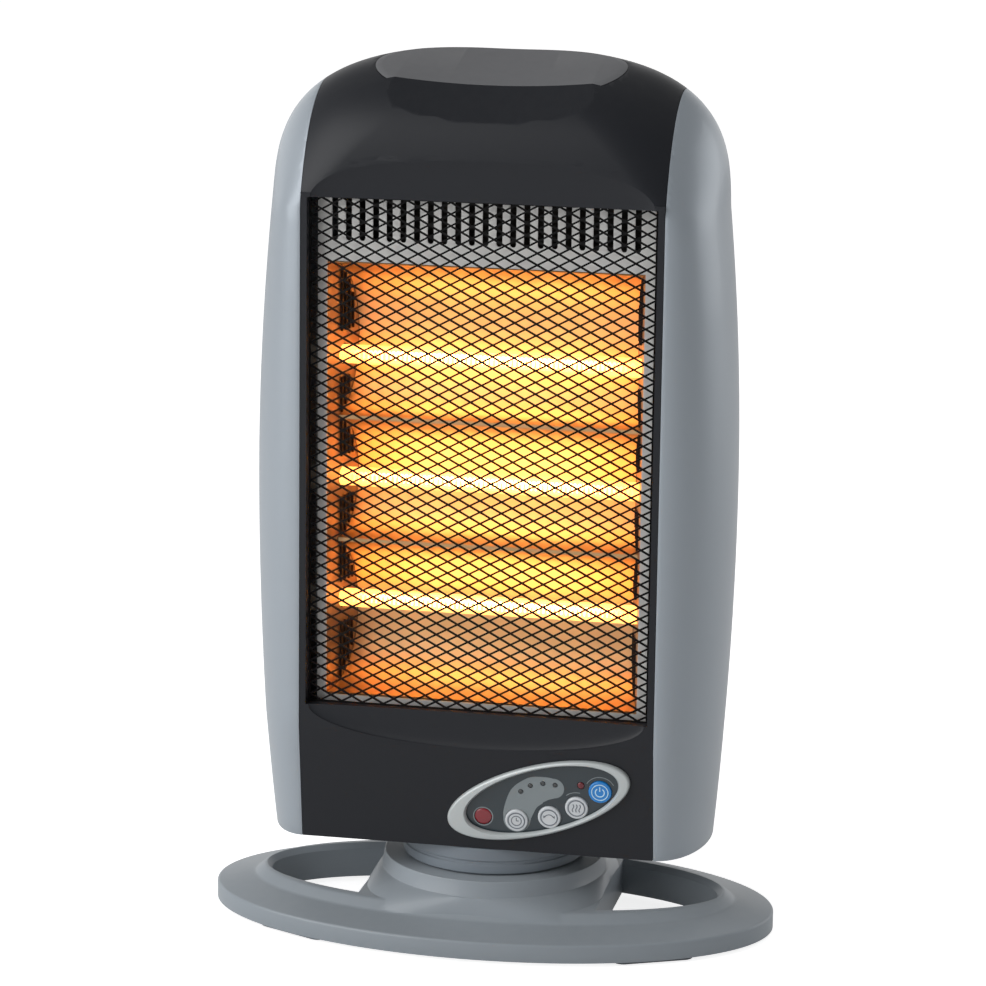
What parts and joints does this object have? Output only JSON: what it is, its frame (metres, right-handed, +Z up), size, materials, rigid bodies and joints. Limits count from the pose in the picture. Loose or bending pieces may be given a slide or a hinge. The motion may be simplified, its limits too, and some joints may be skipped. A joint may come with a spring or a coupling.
{
  "type": "halogen heater",
  "caption": "Upright swinging halogen heater with quartz tubes, a mirror reflector behind a mesh grille, push-button controls and an oval foot.",
  "frame": {"origin": "centre of the oval foot, on the floor", "axes": "+Z up, the front of the heater faces -Y, +X to the right of someone looking at its front"},
  "size_m": [0.31, 0.1708, 0.4726],
  "materials": {
    "foot_plastic": "satin grey moulded plastic",
    "panel_plastic": "silver-grey painted plastic with a soft sheen",
    "black_plastic": "glossy near-black plastic",
    "cap_plastic": "matte dark grey plastic",
    "rear_plastic": "fine-textured black plastic",
    "silver_plastic": "silver painted rim",
    "white_plastic": "natural white moulded plastic",
    "button_plastic": "pale grey keys with a raised ring",
    "blue_plastic": "bright blue key",
    "overlay_film": "dark blue-grey film",
    "red_lens": "clear dark red plastic",
    "led": "frosted diode",
    "circuit_board": "green lacquered board",
    "rubber": "black rubber",
    "steel": "zinc-plated pressed steel",
    "grille_paint": "black stove-enamelled expanded steel",
    "bright_aluminium": "bright mirror-rolled aluminium",
    "quartz": "clear quartz glass",
    "filament": "glowing wound tungsten",
    "ceramic": "unglazed pale ceramic"
  },
  "bodies": {
    "foot": {"base_shell": "foot_plastic", "base_plate": "steel", "foot_pad_front_left": "rubber", "foot_pad_front_right": "rubber", "foot_pad_back_left": "rubber", "foot_pad_back_right": "rubber", "swivel_plate": "steel", "pivot_tube": "steel", "pivot_nut": "steel", "thrust_washer": "steel", "cord_gland": "rubber", "terminal_block": "white_plastic"},
    "head": {"side_panel_left": "panel_plastic", "side_panel_right": "panel_plastic", "top_cap": "cap_plastic", "front_fascia": "black_plastic", "rear_cover": "rear_plastic", "head_floor": "rear_plastic", "neck_collar": "foot_plastic", "grille": "grille_paint", "front_plate": "bright_aluminium", "reflector": "bright_aluminium", "end_plate_left": "bright_aluminium", "end_plate_right": "bright_aluminium", "quartz_tube_1": "quartz", "quartz_tube_2": "quartz", "quartz_tube_3": "quartz", "filament_1": "filament", "filament_2": "filament", "filament_3": "filament", "ceramic_end_left_1": "ceramic", "ceramic_end_left_2": "ceramic", "ceramic_end_left_3": "ceramic", "ceramic_end_right_1": "ceramic", "ceramic_end_right_2": "ceramic", "ceramic_end_right_3": "ceramic", "tube_bracket_left": "steel", "tube_bracket_right": "steel", "heat_shield": "steel", "control_bezel": "silver_plastic", "control_overlay": "overlay_film", "control_board": "circuit_board", "remote_lens": "red_lens", "heat_led_1": "led", "heat_led_2": "led", "heat_led_3": "led", "heat_led_4": "led", "power_led": "red_lens", "swing_motor": "steel", "tip_switch_frame": "rear_plastic", "power_board": "circuit_board", "thermal_cutout": "ceramic"},
    "crank": {"swing_crank": "white_plastic"},
    "timer_key": {"timer_button": "button_plastic"},
    "swing_key": {"swing_button": "button_plastic"},
    "heat_key": {"heat_button": "button_plastic"},
    "power_key": {"power_button": "blue_plastic"},
    "pendulum": {"tip_pendulum": "steel"}
  },
  "joints": [
    {"name": "head_swing", "type": "hinge", "parent": "foot", "child": "head", "pos_m": [0, 0.003, 0.05], "axis": [0, 0, 1], "range_deg": [-30, 30]},
    {"name": "crank_turn", "type": "hinge", "parent": "head", "child": "crank", "pos_m": [0, 0.029, 0.045], "axis": [0, 0, 1], "range_deg": [-91, 91]},
    {"name": "timer_press", "type": "slide", "parent": "head", "child": "timer_key", "axis": [0, 0.992, 0.126], "range_m": [0, 0.001], "stiffness_N_per_m": 400, "springref_m": -0.0005},
    {"name": "swing_press", "type": "slide", "parent": "head", "child": "swing_key", "axis": [0, 0.992, 0.126], "range_m": [0, 0.001], "stiffness_N_per_m": 400, "springref_m": -0.0005},
    {"name": "heat_press", "type": "slide", "parent": "head", "child": "heat_key", "axis": [0, 0.992, 0.126], "range_m": [0, 0.001], "stiffness_N_per_m": 400, "springref_m": -0.0005},
    {"name": "power_press", "type": "slide", "parent": "head", "child": "power_key", "axis": [0, 0.992, 0.126], "range_m": [0, 0.001], "stiffness_N_per_m": 400, "springref_m": -0.0005},
    {"name": "tip_swing", "type": "hinge", "parent": "head", "child": "pendulum", "pos_m": [-0.062, 0.011, 0.0838], "axis": [1, 0, 0], "range_deg": [-20, 20]}
  ],
  "couplings": [
    {"joint": "crank_turn", "follows": "head_swing", "ratio": -3}
  ]
}
